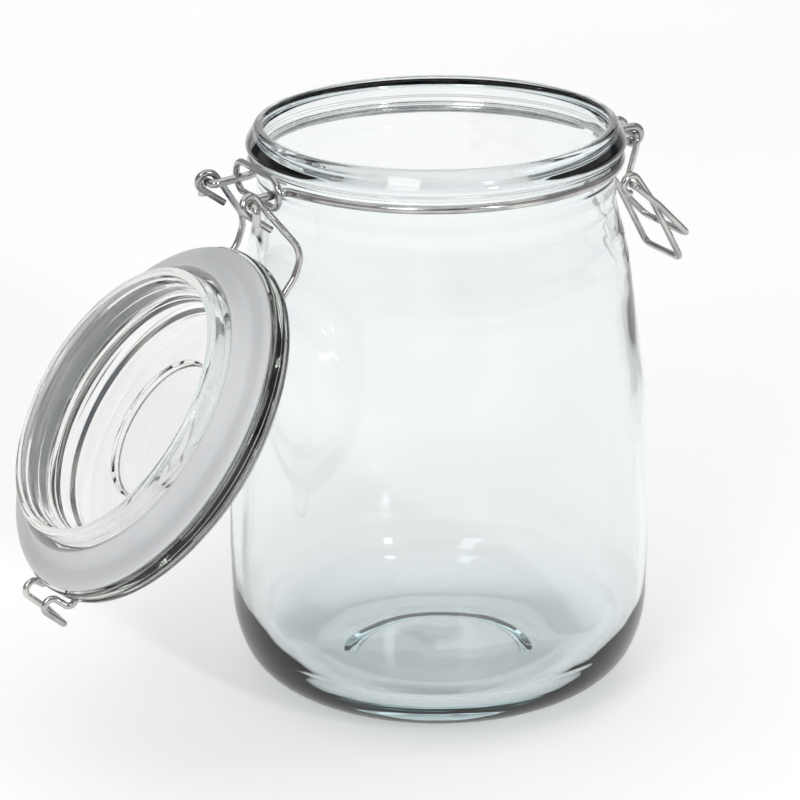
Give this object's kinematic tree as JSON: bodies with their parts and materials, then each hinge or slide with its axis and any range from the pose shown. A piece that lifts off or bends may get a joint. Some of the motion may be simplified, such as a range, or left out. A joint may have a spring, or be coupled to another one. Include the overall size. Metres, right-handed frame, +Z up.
{
  "type": "clip-top jar",
  "caption": "Lidded glass storage jar with a wire-hinged glass lid, soft ring seal and an over-centre wire latch.",
  "frame": {"origin": "centre of the jar's base, on the surface it stands on", "axes": "+Z up the jar, +X from the jar's axis to the latch, hinge at -X, pivots along Y"},
  "size_m": [0.1913, 0.1132, 0.155],
  "materials": {
    "jar_glass": "clear blown glass, polished",
    "lid_glass": "clear pressed glass, polished",
    "seal": "translucent frosted white",
    "wire": "bright plated steel wire"
  },
  "bodies": {
    "jar": {"glass_jar": "jar_glass", "neck_wire_near": "wire", "neck_wire_far": "wire", "neck_clip_ring": "wire"},
    "lid": {"glass_lid": "lid_glass", "gasket": "seal", "lid_wire": "wire"},
    "lever": {"latch_lever": "wire"},
    "link": {"latch_link": "wire"}
  },
  "joints": [
    {"name": "lid_hinge", "type": "hinge", "parent": "jar", "child": "lid", "pos_m": [-0.0598, 0, 0.1443], "axis": [0, 1, 0], "range_deg": [0, 232.5]},
    {"name": "lever_pivot", "type": "hinge", "parent": "jar", "child": "lever", "pos_m": [0.0581, 0, 0.1437], "axis": [0, -1, 0], "range_deg": [0, 150]},
    {"name": "link_pivot", "type": "hinge", "parent": "lever", "child": "link", "pos_m": [0.0546, 0, 0.1317], "axis": [0, -1, 0], "range_deg": [0, 149.36]}
  ]
}
